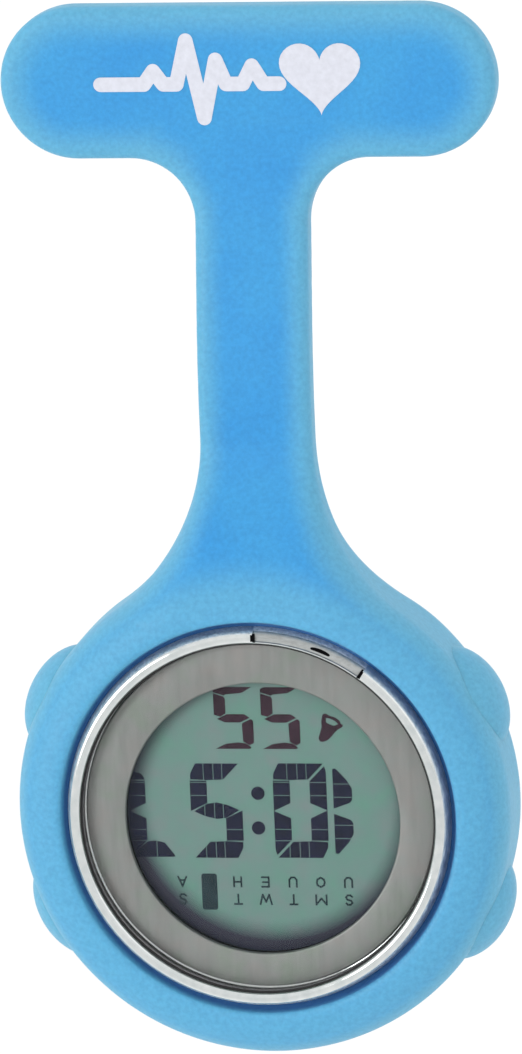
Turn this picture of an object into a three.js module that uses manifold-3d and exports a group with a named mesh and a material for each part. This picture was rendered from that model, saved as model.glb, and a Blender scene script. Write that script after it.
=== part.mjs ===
// Silicone fob watch with a digital display, built as a three.js scene graph in millimetres.
// Frame: the origin is the centre of the brooch bar's rear face, which lies on the garment.
// +Z is up, -Y is the side the display faces, +Y points into the garment, +X is the reader's right.
import * as THREE from "three";
import { mergeVertices } from "three/addons/utils/BufferGeometryUtils.js";
import Module from "manifold-3d";

const wasm = await Module();
wasm.setup();

// ---- Driving dimensions ------------------------------------------------------------------------

const SILICONE_BACK = -0.8; // the moulding's flat rear face
const STRAP_THICKNESS = 3.0;
const STRAP_FRONT = SILICONE_BACK - STRAP_THICKNESS;
const EDGE_ROUND = 0.8; // rounding of the moulding's edges

const T_BAR_WIDTH = 41.0;
const T_BAR_HEIGHT = 12.6;
const NECK_HALF_WIDTH = 4.7;
const NECK_TOP_FILLET = 5.2;
const FLEX_Z = -20.0; // where the strap bends
const FLEX_GAP = 0.3;

const HEAD_Z = -59.5; // the watch head's axis, parallel to Y
const POCKET_RADIUS = 20.6;
const NECK_FLARE = 14.2; // radius of the concave flare from the neck into the pocket
const RAMP_TOP_Z = -29.5; // where the strap's front starts to rise to the pocket's front
const RAMP_BOTTOM_Z = -43.5;
const LIP_CREST = -12.3; // the pocket's foremost face
const LIP_RADIUS = 16.4;
const REAR_OPENING_RADIUS = 12.0;
const CAVITY_RADIUS = 16.35;
const COLLAR_RADIUS = 15.6; // the lip that holds the head in

const CASE_RADIUS = 16.2;
const CASE_BORE = 13.2;
const CASE_REAR = -2.1;
const CASE_FRONT = -9.6;
const BEZEL_RADIUS = 15.45;
const BEZEL_CREST = -12.4;
const BEZEL_BASE = -9.7;
const LENS_RADIUS = 14.35;
const DIAL_OPENING = 11.25;

const DISPLAY_FRONT = -9.6; // outer face of the front polariser
const FRAME_RADIUS = 13.0;
const FRAME_REAR = -4.6;
const BOARD_FRONT = -6.9;
const BOARD_REAR = -6.1;
const BOARD_RADIUS = 12.25;

const CELL_RADIUS = 8.0;
const CELL_Z = -2.0; // offset of the cell from the head's axis
const CELL_FRONT = -5.93;
const CELL_REAR = -4.38;
const MODULE_SCREWS = [
  ["upper_left", -7.6, 8.4],
  ["upper_right", 7.6, 8.4],
  ["lower_left", -7.6, -8.4],
  ["lower_right", 7.6, -8.4],
];
const CLAMP_SCREW_X = 11.1;

const BUTTON_ANGLE = 27.5; // degrees above and below horizontal
const BUTTON_Y = -6.2;
const BUTTONS = [
  ["upper_right", BUTTON_ANGLE],
  ["upper_left", 180 - BUTTON_ANGLE],
  ["lower_left", 180 + BUTTON_ANGLE],
  ["lower_right", -BUTTON_ANGLE],
];
const DOME_APEX = 21.95; // distance from the head's axis
const DOME_RADIUS = 3.3;
const STEM_RADIUS = 0.6;
const STEM_END = 12.45;
const PUSHER_HEAD_START = 17.4;
const PUSHER_HEAD_END = 18.6;
const SPRING_SEAT = 15.25;

const PIN_BAR_LENGTH = 31;
const PIN_BAR_HEIGHT = 5.0;
const PIN_BAR_THICKNESS = 0.7;
const PIN_Y = 2.0; // height of the pin above the garment face
const PIN_PIVOT_X = -13.6;
const PIN_RADIUS = 0.38;
const PIN_TIP_X = 14.6;
const CATCH_X = 12.2; // middle of the catch

const FINE = 48; // segments round the rings that show
const COARSE = 32; // segments round small and hidden pieces

// ---- Materials ---------------------------------------------------------------------------------

const paint = (color, roughness, metalness = 0, opacity = 1) =>
  new THREE.MeshStandardMaterial({ color, roughness, metalness, opacity, transparent: opacity < 1 });

const material = {
  silicone: paint(0x5cb0e2, 0.55),
  chrome: paint(0xd8dcde, 0.08, 1),
  steel: paint(0xb9bcbd, 0.3, 1),
  brushed: paint(0x94988f, 0.42, 1),
  glass: paint(0xf2f7f7, 0.03, 0, 0.2),
  display: paint(0x7b9f90, 0.35),
  ink: paint(0x23262e, 0.5),
  black: paint(0x151517, 0.45),
  ivory: paint(0xe3dfd2, 0.5),
  board: paint(0x1f5a35, 0.45),
  brass: paint(0xc7a55a, 0.3, 1),
  ceramic: paint(0xdad7cd, 0.6),
  rubber: paint(0x1b1b1d, 0.7),
};

// ---- Solids ------------------------------------------------------------------------------------

// A closed three.js geometry as a manifold-3d solid.
function solid(geometry) {
  const bare = geometry.clone();
  bare.deleteAttribute("normal");
  bare.deleteAttribute("uv");
  const merged = mergeVertices(bare, 1e-4);
  const triVerts = new Uint32Array(merged.index.array);
  const vertProperties = new Float32Array(merged.attributes.position.array);
  const made = new wasm.Manifold(new wasm.Mesh({ numProp: 3, vertProperties, triVerts }));
  if (made.volume() > 0) return made;
  for (let i = 0; i < triVerts.length; i += 3) {
    [triVerts[i + 1], triVerts[i + 2]] = [triVerts[i + 2], triVerts[i + 1]];
  }
  return new wasm.Manifold(new wasm.Mesh({ numProp: 3, vertProperties, triVerts }));
}

// A manifold-3d solid as a three.js geometry.
function geometryOf(made) {
  const { numProp, numVert, vertProperties, triVerts } = made.getMesh();
  const position = new Float32Array(numVert * 3);
  for (let i = 0; i < numVert; i++) {
    position.set(vertProperties.subarray(i * numProp, i * numProp + 3), i * 3);
  }
  const geometry = new THREE.BufferGeometry();
  geometry.setAttribute("position", new THREE.BufferAttribute(position, 3));
  geometry.setIndex(new THREE.BufferAttribute(new Uint32Array(triVerts), 1));
  geometry.computeVertexNormals();
  return geometry;
}

const join = (...solids) => solids.reduce((a, b) => a.add(b));
const cut = (from, ...tools) => tools.reduce((a, b) => a.subtract(b), from);

// A profile of [radius, y] points turned round the Y axis.
function turned(profile, segments = FINE) {
  const points = profile.map(([r, y]) => new THREE.Vector2(r, y));
  points.push(points[0].clone());
  return solid(new THREE.LatheGeometry(points, segments));
}

// A disc or ring about the Y axis, from yBack forward to yFront.
function ring(outer, inner, yBack, yFront, segments = COARSE) {
  return turned([[inner, yBack], [outer, yBack], [outer, yFront], [inner, yFront]], segments);
}

const disc = (radius, yBack, yFront, segments = COARSE) => ring(radius, 0, yBack, yFront, segments);

// A box between two corners.
function block([x0, y0, z0], [x1, y1, z1]) {
  const geometry = new THREE.BoxGeometry(x1 - x0, y1 - y0, z1 - z0);
  return solid(geometry.translate((x0 + x1) / 2, (y0 + y1) / 2, (z0 + z1) / 2));
}

// A flat shape in the XZ plane, made solid from yBack forward to yFront, with rounded edges if asked.
function plate(shape, yBack, yFront, round = 0, curveSegments = 7, bevelSegments = 2) {
  const depth = yBack - yFront - 2 * round;
  const geometry = new THREE.ExtrudeGeometry(shape, {
    depth,
    curveSegments,
    bevelEnabled: round > 0,
    bevelThickness: round,
    bevelSize: round,
    bevelOffset: -round,
    bevelSegments,
  });
  return solid(geometry.rotateX(Math.PI / 2).translate(0, yBack - round, 0));
}

// A cylinder along X, centred on y, z.
function rodX(radius, x0, x1, y, z, segments = 16) {
  const geometry = new THREE.CylinderGeometry(radius, radius, x1 - x0, segments);
  return solid(geometry.rotateZ(Math.PI / 2).translate((x0 + x1) / 2, y, z));
}

// A cylinder along Z, centred on x, y.
function rodZ(radius, z0, z1, x, y, segments = 16) {
  const geometry = new THREE.CylinderGeometry(radius, radius, z1 - z0, segments);
  return solid(geometry.rotateX(Math.PI / 2).translate(x, y, (z0 + z1) / 2));
}

// A profile of [radius, distance] points turned round a button's axis, which leaves the head's
// axis at the button's angle. Distance is measured from the head's axis.
function alongButton(profile, angle, segments = 12) {
  const points = profile.map(([r, d]) => new THREE.Vector2(r, d));
  points.push(points[0].clone());
  const geometry = new THREE.LatheGeometry(points, segments);
  return solid(onButtonAxis(geometry, angle));
}

// Takes a geometry made about +Y onto a button's axis.
function onButtonAxis(geometry, angle) {
  return geometry
    .rotateX(Math.PI / 2)
    .rotateY(THREE.MathUtils.degToRad(90 - angle))
    .translate(0, BUTTON_Y, 0);
}

// A closed polygon from [x, z] points.
function polygon(points) {
  const shape = new THREE.Shape();
  points.forEach(([x, z], i) => (i ? shape.lineTo(x, z) : shape.moveTo(x, z)));
  shape.closePath();
  return shape;
}

// ---- Silicone moulding -------------------------------------------------------------------------

// The T-bar with round ends and the neck's upper half.
function barOutline() {
  const end = T_BAR_HEIGHT / 2;
  const endX = T_BAR_WIDTH / 2 - end;
  const filletX = NECK_HALF_WIDTH + NECK_TOP_FILLET;
  const filletZ = -end - NECK_TOP_FILLET;
  const bottom = FLEX_Z + FLEX_GAP / 2;
  const shape = new THREE.Shape();
  shape.moveTo(NECK_HALF_WIDTH, bottom);
  shape.lineTo(NECK_HALF_WIDTH, filletZ);
  shape.absarc(filletX, filletZ, NECK_TOP_FILLET, Math.PI, Math.PI / 2, true);
  shape.absarc(endX, 0, end, -Math.PI / 2, Math.PI / 2, false);
  shape.absarc(-endX, 0, end, Math.PI / 2, (3 * Math.PI) / 2, false);
  shape.absarc(-filletX, filletZ, NECK_TOP_FILLET, Math.PI / 2, 0, true);
  shape.lineTo(-NECK_HALF_WIDTH, bottom);
  shape.closePath();
  return shape;
}

// The silicone loops that hold the brooch bar: a rear rib with a slot for the bar.
function barLoop(x) {
  const width = 3.6;
  const reach = 1.0;
  const rib = block([x - width / 2, SILICONE_BACK - 0.5, -3.9], [x + width / 2, reach, 3.9]);
  const slotHalf = PIN_BAR_HEIGHT / 2 + 0.08;
  const slot = block([x - width, SILICONE_BACK, -slotHalf], [x + width, 0.08, slotHalf]);
  return cut(rib, slot);
}

function fobBar() {
  const body = plate(barOutline(), SILICONE_BACK, STRAP_FRONT, EDGE_ROUND);
  return join(body, barLoop(-6.2), barLoop(6.2));
}

// Height of the flare's centre above the head's axis: its arc touches the neck and the pocket.
function flareCentre(radius) {
  const x = NECK_HALF_WIDTH + NECK_FLARE;
  return [x, Math.sqrt((radius + NECK_FLARE) ** 2 - x ** 2)];
}

// The neck's lower half and its flare down to the pocket's wall, about the head's axis.
function flareOutline(radius) {
  const [x, z] = flareCentre(radius);
  const lean = Math.atan2(z, x);
  const top = FLEX_Z - FLEX_GAP / 2 - HEAD_Z;
  const inside = REAR_OPENING_RADIUS + 0.5;
  const foot = [inside * Math.cos(lean), inside * Math.sin(lean)];
  const shape = new THREE.Shape();
  shape.moveTo(-NECK_HALF_WIDTH, top);
  shape.lineTo(-NECK_HALF_WIDTH, z);
  shape.absarc(-x, z, NECK_FLARE, 0, -lean, true);
  shape.lineTo(-foot[0], foot[1]);
  shape.lineTo(foot[0], foot[1]);
  shape.absarc(x, z, NECK_FLARE, Math.PI + lean, Math.PI, true);
  shape.lineTo(NECK_HALF_WIDTH, top);
  shape.closePath();
  return shape;
}

// A prism along X whose section is everything behind the strap's front and the pocket's ramp.
function rampProfile() {
  const steps = 10;
  const top = FLEX_Z - HEAD_Z + 1;
  const side = new THREE.Shape();
  side.moveTo(0, top);
  side.lineTo(STRAP_FRONT, top);
  for (let i = 0; i <= steps; i++) {
    const t = i / steps;
    const rise = t * t * (3 - 2 * t);
    const y = THREE.MathUtils.lerp(STRAP_FRONT, LIP_CREST + 0.3, rise);
    side.lineTo(y, THREE.MathUtils.lerp(RAMP_TOP_Z, RAMP_BOTTOM_Z, t) - HEAD_Z);
  }
  side.lineTo(LIP_CREST + 0.3, 0);
  side.lineTo(0, 0);
  side.closePath();
  const width = 2 * POCKET_RADIUS + 4;
  const geometry = new THREE.ExtrudeGeometry(side, { depth: width, bevelEnabled: false });
  // Extruded along Z with section axes (y, z); turned so that the section lies in YZ.
  const basis = new THREE.Matrix4().makeBasis(
    new THREE.Vector3(0, 1, 0),
    new THREE.Vector3(0, 0, 1),
    new THREE.Vector3(1, 0, 0),
  );
  return solid(geometry.applyMatrix4(basis).translate(-width / 2, 0, 0));
}

// The pocket's wall: rounded outside, with the lip and groove round the bezel in front.
function pocketWall() {
  return turned([
    [REAR_OPENING_RADIUS, SILICONE_BACK],
    [18.4, SILICONE_BACK],
    [19.6, -1.3],
    [20.3, -2.7],
    [POCKET_RADIUS, -4.8],
    [POCKET_RADIUS, -7.0],
    [20.3, -8.8],
    [19.6, -10.3],
    [18.7, -11.4],
    [17.7, -12.05],
    [16.9, LIP_CREST],
    [LIP_RADIUS, -12.05],
    [16.0, -10.9],
    [COLLAR_RADIUS, -10.8],
    [COLLAR_RADIUS, -9.75],
    [COLLAR_RADIUS - 0.6, -9.5],
    [COLLAR_RADIUS - 0.6, -2.5],
    [REAR_OPENING_RADIUS, -1.9],
  ]);
}

// The room for the head inside the moulding, with the collar and the rear lip left standing.
function headRoom() {
  return turned([
    [0, 0],
    [REAR_OPENING_RADIUS, 0],
    [REAR_OPENING_RADIUS, -1.9],
    [CAVITY_RADIUS - 0.5, -1.9],
    [CAVITY_RADIUS, -2.8],
    [CAVITY_RADIUS, -8.75],
    [COLLAR_RADIUS, -9.75],
    [COLLAR_RADIUS, -10.8],
    [16.0, -10.9],
    [LIP_RADIUS, -12.05],
    [16.9, LIP_CREST],
    [17.0, -13.5],
    [0, -13.5],
  ]);
}

function fobPocket() {
  const round = pocketWall();
  const outline = flareOutline(POCKET_RADIUS - 0.4);
  const strap = plate(outline, SILICONE_BACK, STRAP_FRONT, EDGE_ROUND);
  const shoulder = plate(outline, SILICONE_BACK, LIP_CREST + 0.3, STRAP_THICKNESS, 7, 3)
    .intersect(rampProfile());
  const holes = BUTTONS.map(([, angle]) =>
    alongButton([[0, 14], [DOME_RADIUS + 0.15, 14], [DOME_RADIUS + 0.15, 24], [0, 24]], angle, 20),
  );
  return cut(join(round, strap, shoulder), headRoom(), ...holes);
}

// A silicone button moulded over a pusher: a dome outside, a socket for the pusher's head inside.
function buttonDome(angle) {
  const edge = Math.sqrt(POCKET_RADIUS ** 2 - DOME_RADIUS ** 2) - 0.1;
  const rise = DOME_APEX - edge;
  const curve = (DOME_RADIUS ** 2 + rise ** 2) / (2 * rise);
  const steps = 4;
  const profile = [[0, PUSHER_HEAD_END + 0.05], [1.65, PUSHER_HEAD_END + 0.05]];
  profile.push([1.65, PUSHER_HEAD_START], [DOME_RADIUS, PUSHER_HEAD_START]);
  for (let i = 0; i <= steps; i++) {
    const tilt = Math.asin(DOME_RADIUS / curve) * (1 - i / steps);
    profile.push([curve * Math.sin(tilt), DOME_APEX - curve + curve * Math.cos(tilt)]);
  }
  return alongButton(profile, angle, 20);
}

// ---- Watch case --------------------------------------------------------------------------------

function caseMiddle() {
  const body = turned([
    [CASE_BORE, CASE_REAR - 0.65],
    [14.6, CASE_REAR - 0.65],
    [14.6, CASE_REAR],
    [15.5, CASE_REAR],
    [CASE_RADIUS, -3.0],
    [CASE_RADIUS, -8.6],
    [15.4, CASE_FRONT],
    [CASE_BORE, CASE_FRONT],
  ]);
  const sealGroove = ring(14.2, 13.6, 0, CASE_REAR - 1.15, FINE);
  const bores = BUTTONS.map(([, angle]) =>
    alongButton(
      [
        [0, 12],
        [0.72, 12],
        [0.72, 14.0],
        [1.15, 14.0],
        [1.15, 14.7],
        [0.72, 14.7],
        [0.72, SPRING_SEAT],
        [1.75, SPRING_SEAT],
        [1.75, 18],
        [0, 18],
      ],
      angle,
    ),
  );
  return cut(body, sealGroove, ...bores);
}

// The bright ring round the lens, with an opening notch: a cut-back sector with a pry slot.
function bezelRing() {
  const body = turned([
    [13.6, BEZEL_BASE],
    [15.25, BEZEL_BASE],
    [BEZEL_RADIUS, BEZEL_BASE - 0.2],
    [BEZEL_RADIUS, -11.9],
    [15.25, -12.25],
    [15.0, BEZEL_CREST],
    [14.8, -12.3],
    [14.7, -12.15],
    [14.7, -10.2],
    [13.6, -10.2],
  ]);
  const notchMiddle = THREE.MathUtils.degToRad(72.7);
  const notchHalf = THREE.MathUtils.degToRad(19);
  const sector = new THREE.Shape();
  sector.absarc(0, 0, 17, notchMiddle - notchHalf, notchMiddle + notchHalf, false);
  sector.absarc(0, 0, 15.08, notchMiddle + notchHalf, notchMiddle - notchHalf, true);
  sector.closePath();
  const notch = plate(sector, -11.6, -13, 0, 16);
  const slot = block([14.3, -13, -0.9], [15.8, -11.0, 0.9]);
  const turnedSlot = slot
    .subtract(disc(15.12, -10, -14, FINE))
    .rotate([0, -69, 0]);
  return cut(body, notch, turnedSlot);
}

function lens() {
  return turned(
    [[0, -10.85], [LENS_RADIUS, -10.85], [LENS_RADIUS, -11.9], [LENS_RADIUS - 0.15, -12.05], [0, -12.05]],
    FINE,
  );
}

const lensGasket = () => ring(14.65, 14.4, -10.3, -12.0, FINE);

const dialRing = () => ring(14.15, DIAL_OPENING, -10.25, -10.75, FINE);

function caseBack() {
  const body = turned([
    [0, CASE_REAR + 0.1],
    [14.2, CASE_REAR + 0.1],
    [14.45, CASE_REAR - 0.15],
    [14.45, CASE_REAR - 0.6],
    [13.1, CASE_REAR - 0.6],
    [13.1, -3.6],
    [12.4, -3.6],
    [12.4, CASE_REAR - 0.6],
    [0, CASE_REAR - 0.6],
  ]);
  const pryNotch = block([-1.4, CASE_REAR - 0.25, 14.0], [1.4, CASE_REAR + 1, 15]);
  return cut(body, pryNotch);
}

// A ring of round section about the Y axis.
function sealRing(radius, section, y) {
  const geometry = new THREE.TorusGeometry(radius, section, 5, FINE);
  return solid(geometry.rotateX(Math.PI / 2).translate(0, y, 0));
}

// ---- Display and module ------------------------------------------------------------------------

// A square with cut corners, the shape of the display glass.
function cutSquare(half, halfHeight, corner) {
  const c = corner;
  return polygon([
    [-half, -(c - half)],
    [-(c - halfHeight), -halfHeight],
    [c - halfHeight, -halfHeight],
    [half, -(c - half)],
    [half, c - half],
    [c - halfHeight, halfHeight],
    [-(c - halfHeight), halfHeight],
    [-half, c - half],
  ]);
}

const displaySpacer = () => ring(FRAME_RADIUS, 11.4, -9.66, -10.2);
const frontPolariser = () => plate(cutSquare(11.4, 11.4, 16.0), -9.4, DISPLAY_FRONT);
const frontGlass = () => plate(cutSquare(11.6, 11.6, 16.1), -8.83, -9.38);
const rearGlass = () => plate(cutSquare(11.0, 9.6, 16.1), -8.26, -8.81);
const rearPolariser = () => plate(cutSquare(10.4, 8.9, 15.6), -8.04, -8.24);
const backlight = () => plate(cutSquare(10.2, 8.7, 15.4), -7.74, -8.02);

// The rubber strip that joins the glass's contacts to the board's.
const contactStrip = (side) =>
  block([-5.6, -8.8, side > 0 ? 10.0 : -11.2], [5.6, -6.95, side > 0 ? 11.2 : -10.0]);

// The slots that let the pushers and their clips reach into the module.
function pusherSlots(reach, width, yBack, yFront) {
  return BUTTONS.map(([, angle]) =>
    block([reach, yFront, -width / 2], [15, yBack, width / 2]).rotate([0, -angle, 0]),
  );
}

function moduleFrame() {
  const shell = disc(FRAME_RADIUS, FRAME_REAR, -9.55);
  const glassSeat = plate(cutSquare(11.68, 11.68, 16.25), -7.7, -10);
  const boardSeat = disc(BOARD_RADIUS + 0.12, -4, BOARD_FRONT - 0.05);
  const window = block([-9, -8, -8.2], [9, -6, 8.2]);
  const stripSlots = [1, -1].map((side) =>
    block([-5.7, -8.9, side > 0 ? 9.9 : -11.3], [5.7, -6, side > 0 ? 11.3 : -9.9]),
  );
  const hollow = cut(shell, glassSeat, boardSeat, window, ...stripSlots);
  const posts = screwPlaces().map(([x, z]) => disc(1.15, FRAME_REAR, -7.0, 16).translate([x, 0, z]));
  const pilots = screwPlaces().map(([x, z]) => disc(0.42, -4, -6.4, 12).translate([x, 0, z]));
  return cut(join(hollow, ...posts), ...pilots, ...pusherSlots(10.9, 3.0, -4, -7.6));
}

// Every screw's place, [x, z] about the head's axis.
function screwPlaces() {
  const module = MODULE_SCREWS.map(([, x, z]) => [x, z]);
  return [...module, [-CLAMP_SCREW_X, 0], [CLAMP_SCREW_X, 0]];
}

function circuitBoard() {
  const board = disc(BOARD_RADIUS, BOARD_REAR, BOARD_FRONT);
  const postHoles = screwPlaces().map(([x, z]) => disc(1.3, -5, -8, 16).translate([x, 0, z]));
  return cut(board, ...postHoles, ...pusherSlots(10.9, 3.0, -5, -8));
}

// The epoxy drop over the bare chip.
function chipDrop() {
  const profile = [[0, BOARD_REAR + 0.02], [2.3, BOARD_REAR + 0.02], [2.1, -5.7], [1.5, -5.4]];
  return turned([...profile, [0, -5.28]], 24).translate([-3.3, 0, 8.2]);
}

const crystal = () => rodX(0.7, 2.3, 6.0, -5.35, 8.3, 20);

const batteryContact = () => block([-4.5, -6.08, -3.4], [4.5, -5.96, -0.6]);

function coinCell() {
  const profile = [
    [0, CELL_FRONT],
    [7.2, CELL_FRONT],
    [7.3, CELL_FRONT + 0.35],
    [CELL_RADIUS, CELL_FRONT + 0.45],
    [CELL_RADIUS, CELL_REAR - 0.1],
    [CELL_RADIUS - 0.1, CELL_REAR],
    [0, CELL_REAR],
  ];
  return turned(profile, COARSE).translate([0, 0, CELL_Z]);
}

// The thin rear plate: four of its fingers are the buttons' contacts.
function modulePlate() {
  const sheet = disc(12.6, FRAME_REAR + 0.22, FRAME_REAR + 0.02);
  const cellHole = disc(CELL_RADIUS + 0.35, -3, -6).translate([0, 0, CELL_Z]);
  const screwHoles = screwPlaces().map(([x, z]) => disc(0.5, -3, -6, 12).translate([x, 0, z]));
  const springHole = disc(0.9, -3, -6, 16).translate([0, 0, 7.4]);
  const notches = pusherSlots(11.45, 3.0, -4, -5);
  const fingers = BUTTONS.map(([, angle]) =>
    block([11.22, -6.8, -0.9], [11.42, FRAME_REAR + 0.1, 0.9]).rotate([0, -angle, 0]),
  );
  return join(cut(sheet, cellHole, ...screwHoles, springHole, ...notches), ...fingers);
}

function batteryClamp() {
  const strap = block([-12.2, -4.36, -1.7], [12.2, -4.16, 1.7]).intersect(disc(12.5, -4, -5));
  const holes = [-CLAMP_SCREW_X, CLAMP_SCREW_X].map((x) => disc(0.5, -4, -5, 12).translate([x, 0, 0]));
  return cut(strap, ...holes);
}

// A cheese-head screw with its head's underside at seat.
function screw(x, z, seat) {
  const body = turned(
    [[0, seat - 1.4], [0.38, seat - 1.4], [0.38, seat], [0.8, seat], [0.8, seat + 0.4], [0, seat + 0.4]],
    12,
  );
  const slot = block([-1, seat + 0.22, -0.12], [1, seat + 1, 0.12]);
  return cut(body, slot).translate([x, 0, z]);
}

const buzzerPlate = () => disc(8.6, -2.74, -2.94);
const buzzerCeramic = () => disc(6.0, -2.96, -3.12);

// A coil spring about the Y axis, as a swept wire of few sides.
function coilGeometry(radius, wire, length, turns) {
  class Helix extends THREE.Curve {
    getPoint(t, target = new THREE.Vector3()) {
      const a = 2 * Math.PI * turns * t;
      return target.set(radius * Math.cos(a), wire + (length - 2 * wire) * t, radius * Math.sin(a));
    }
  }
  const section = new THREE.Shape();
  section.absarc(0, 0, wire, 0, 2 * Math.PI, false);
  return new THREE.ExtrudeGeometry(section, {
    steps: Math.round(turns * 8),
    extrudePath: new Helix(),
    curveSegments: 2,
    bevelEnabled: false,
  });
}

const buzzerSpring = () => solid(coilGeometry(0.45, 0.1, 3.02, 4).translate(0, -6.02, 7.4));

// ---- Pushers -----------------------------------------------------------------------------------

function pusher(angle) {
  return alongButton(
    [
      [0, STEM_END],
      [STEM_RADIUS - 0.15, STEM_END],
      [STEM_RADIUS, STEM_END + 0.15],
      [STEM_RADIUS, PUSHER_HEAD_START + 0.02],
      [1.6, PUSHER_HEAD_START + 0.02],
      [1.6, PUSHER_HEAD_END - 0.2],
      [1.4, PUSHER_HEAD_END],
      [0, PUSHER_HEAD_END],
    ],
    angle,
  );
}

function pusherSpring(angle) {
  const length = PUSHER_HEAD_START - SPRING_SEAT - 0.06;
  const coil = coilGeometry(1.2, 0.13, length, 3.5).translate(0, SPRING_SEAT + 0.03, 0);
  return solid(onButtonAxis(coil, angle));
}

function pusherSeal(angle) {
  const seal = new THREE.TorusGeometry(0.88, 0.24, 5, 12);
  return solid(onButtonAxis(seal.rotateX(Math.PI / 2).translate(0, 14.35, 0), angle));
}

// The E-shaped clip that keeps a pusher in the case: a washer with a slot to slide it on.
function pusherClip(angle) {
  const washer = turned([[STEM_RADIUS + 0.03, 12.8], [1.25, 12.8], [1.25, 13.05], [STEM_RADIUS + 0.03, 13.05]], 14);
  const mouth = block([-0.5, 12, 0], [0.5, 14, 2]);
  const clip = cut(washer, mouth);
  return solid(onButtonAxis(geometryOf(clip), angle));
}

// ---- Brooch pin --------------------------------------------------------------------------------

// The steel bar with two ears for the pin's rivet and two C-shaped cheeks for the catch.
function pinBar() {
  const half = PIN_BAR_LENGTH / 2;
  const end = PIN_BAR_HEIGHT / 2;
  const outline = new THREE.Shape();
  outline.absarc(half - end, 0, end, -Math.PI / 2, Math.PI / 2, false);
  outline.absarc(end - half, 0, end, Math.PI / 2, (3 * Math.PI) / 2, false);
  outline.closePath();
  const strip = plate(outline, 0, -PIN_BAR_THICKNESS, 0, 8);
  const ears = [-1.45, 0.85].map((z) =>
    join(
      rodZ(1.1, z, z + 0.6, PIN_PIVOT_X, PIN_Y, 20),
      block([PIN_PIVOT_X - 1.1, -0.2, z], [PIN_PIVOT_X + 1.1, PIN_Y, z + 0.6]),
    ),
  );
  const rivetHole = rodZ(0.5, -2, 2, PIN_PIVOT_X, PIN_Y);
  const cheeks = [CATCH_X - 1.7, CATCH_X + 1.1].map((x) => {
    const cheek = join(
      rodX(1.7, x, x + 0.6, PIN_Y, 0, 20),
      block([x, -0.2, -1.7], [x + 0.6, PIN_Y, 1.7]),
    );
    return cut(cheek, rodX(1.14, x - 1, x + 2, PIN_Y, 0, 20), block([x - 1, PIN_Y, -0.55], [x + 2, 5, 0.55]));
  });
  return cut(join(strip, ...ears, ...cheeks), rivetHole);
}

const pinRivet = () =>
  join(
    rodZ(0.44, -1.75, 1.75, PIN_PIVOT_X, PIN_Y),
    rodZ(0.8, -1.75, -1.5, PIN_PIVOT_X, PIN_Y),
    rodZ(0.8, 1.5, 1.75, PIN_PIVOT_X, PIN_Y),
  );

// The pin: an eye round the rivet, a straight shank and a ground point.
function pinArm() {
  const eye = cut(rodZ(0.95, -0.75, 0.75, PIN_PIVOT_X, PIN_Y, 20), rodZ(0.49, -2, 2, PIN_PIVOT_X, PIN_Y));
  const start = PIN_PIVOT_X + 0.7;
  const taper = 4.5;
  const shank = rodX(PIN_RADIUS, start, PIN_TIP_X - taper, PIN_Y, 0, 14);
  const point = new THREE.CylinderGeometry(0.05, PIN_RADIUS, taper, 14);
  point.rotateZ(-Math.PI / 2).translate(PIN_TIP_X - taper / 2, PIN_Y, 0);
  return join(eye, shank, solid(point));
}

// The safety sleeve: turned to close over the pin, with a thumb tab between the cheeks.
function catchSleeve() {
  const journal = rodX(1.0, CATCH_X - 1.9, CATCH_X + 1.9, PIN_Y, 0, 20);
  const drum = rodX(1.45, CATCH_X - 1.0, CATCH_X + 1.0, PIN_Y, 0, 20);
  const tab = block([CATCH_X - 0.7, -0.25, 1.1], [CATCH_X + 0.7, 0.25, 2.7])
    .rotate([10, 0, 0])
    .translate([0, PIN_Y, 0]);
  const bore = rodX(0.56, CATCH_X - 4, CATCH_X + 4, PIN_Y, 0, 16);
  const mouth = block([CATCH_X - 4, PIN_Y, -0.5], [CATCH_X + 4, PIN_Y + 4, 0.5]);
  return cut(join(journal, drum, tab), bore, mouth);
}

// ---- Assembly ----------------------------------------------------------------------------------

const fob = new THREE.Group();
const head = new THREE.Group();
head.position.z = HEAD_Z;
fob.add(head);

function add(parent, name, made, finish) {
  const mesh = new THREE.Mesh(geometryOf(made), finish);
  mesh.name = name;
  parent.add(mesh);
}

add(fob, "fob_bar", fobBar(), material.silicone);
add(fob, "pin_bar", pinBar(), material.steel);
add(fob, "pin_rivet", pinRivet(), material.steel);
add(fob, "pin_arm", pinArm(), material.steel);
add(fob, "catch_sleeve", catchSleeve(), material.steel);

add(head, "fob_pocket", fobPocket(), material.silicone);
add(head, "case_middle", caseMiddle(), material.chrome);
add(head, "bezel_ring", bezelRing(), material.chrome);
add(head, "lens", lens(), material.glass);
add(head, "lens_gasket", lensGasket(), material.rubber);
add(head, "dial_ring", dialRing(), material.brushed);
add(head, "case_back", caseBack(), material.steel);
add(head, "case_back_seal", sealRing(13.9, 0.24, -3.0), material.rubber);

add(head, "display_spacer", displaySpacer(), material.black);
add(head, "front_polariser", frontPolariser(), material.display);
add(head, "display_front_glass", frontGlass(), material.glass);
add(head, "display_rear_glass", rearGlass(), material.glass);
add(head, "rear_polariser", rearPolariser(), material.display);
add(head, "backlight_panel", backlight(), material.ivory);
add(head, "contact_strip_upper", contactStrip(1), material.rubber);
add(head, "contact_strip_lower", contactStrip(-1), material.rubber);
add(head, "module_frame", moduleFrame(), material.ivory);
add(head, "circuit_board", circuitBoard(), material.board);
add(head, "chip_drop", chipDrop(), material.black);
add(head, "quartz_crystal", crystal(), material.steel);
add(head, "battery_contact", batteryContact(), material.brass);
add(head, "coin_cell", coinCell(), material.steel);
add(head, "module_plate", modulePlate(), material.steel);
add(head, "battery_clamp", batteryClamp(), material.steel);
MODULE_SCREWS.forEach(([place, x, z]) => {
  add(head, `module_screw_${place}`, screw(x, z, FRAME_REAR + 0.24), material.steel);
});
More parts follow.
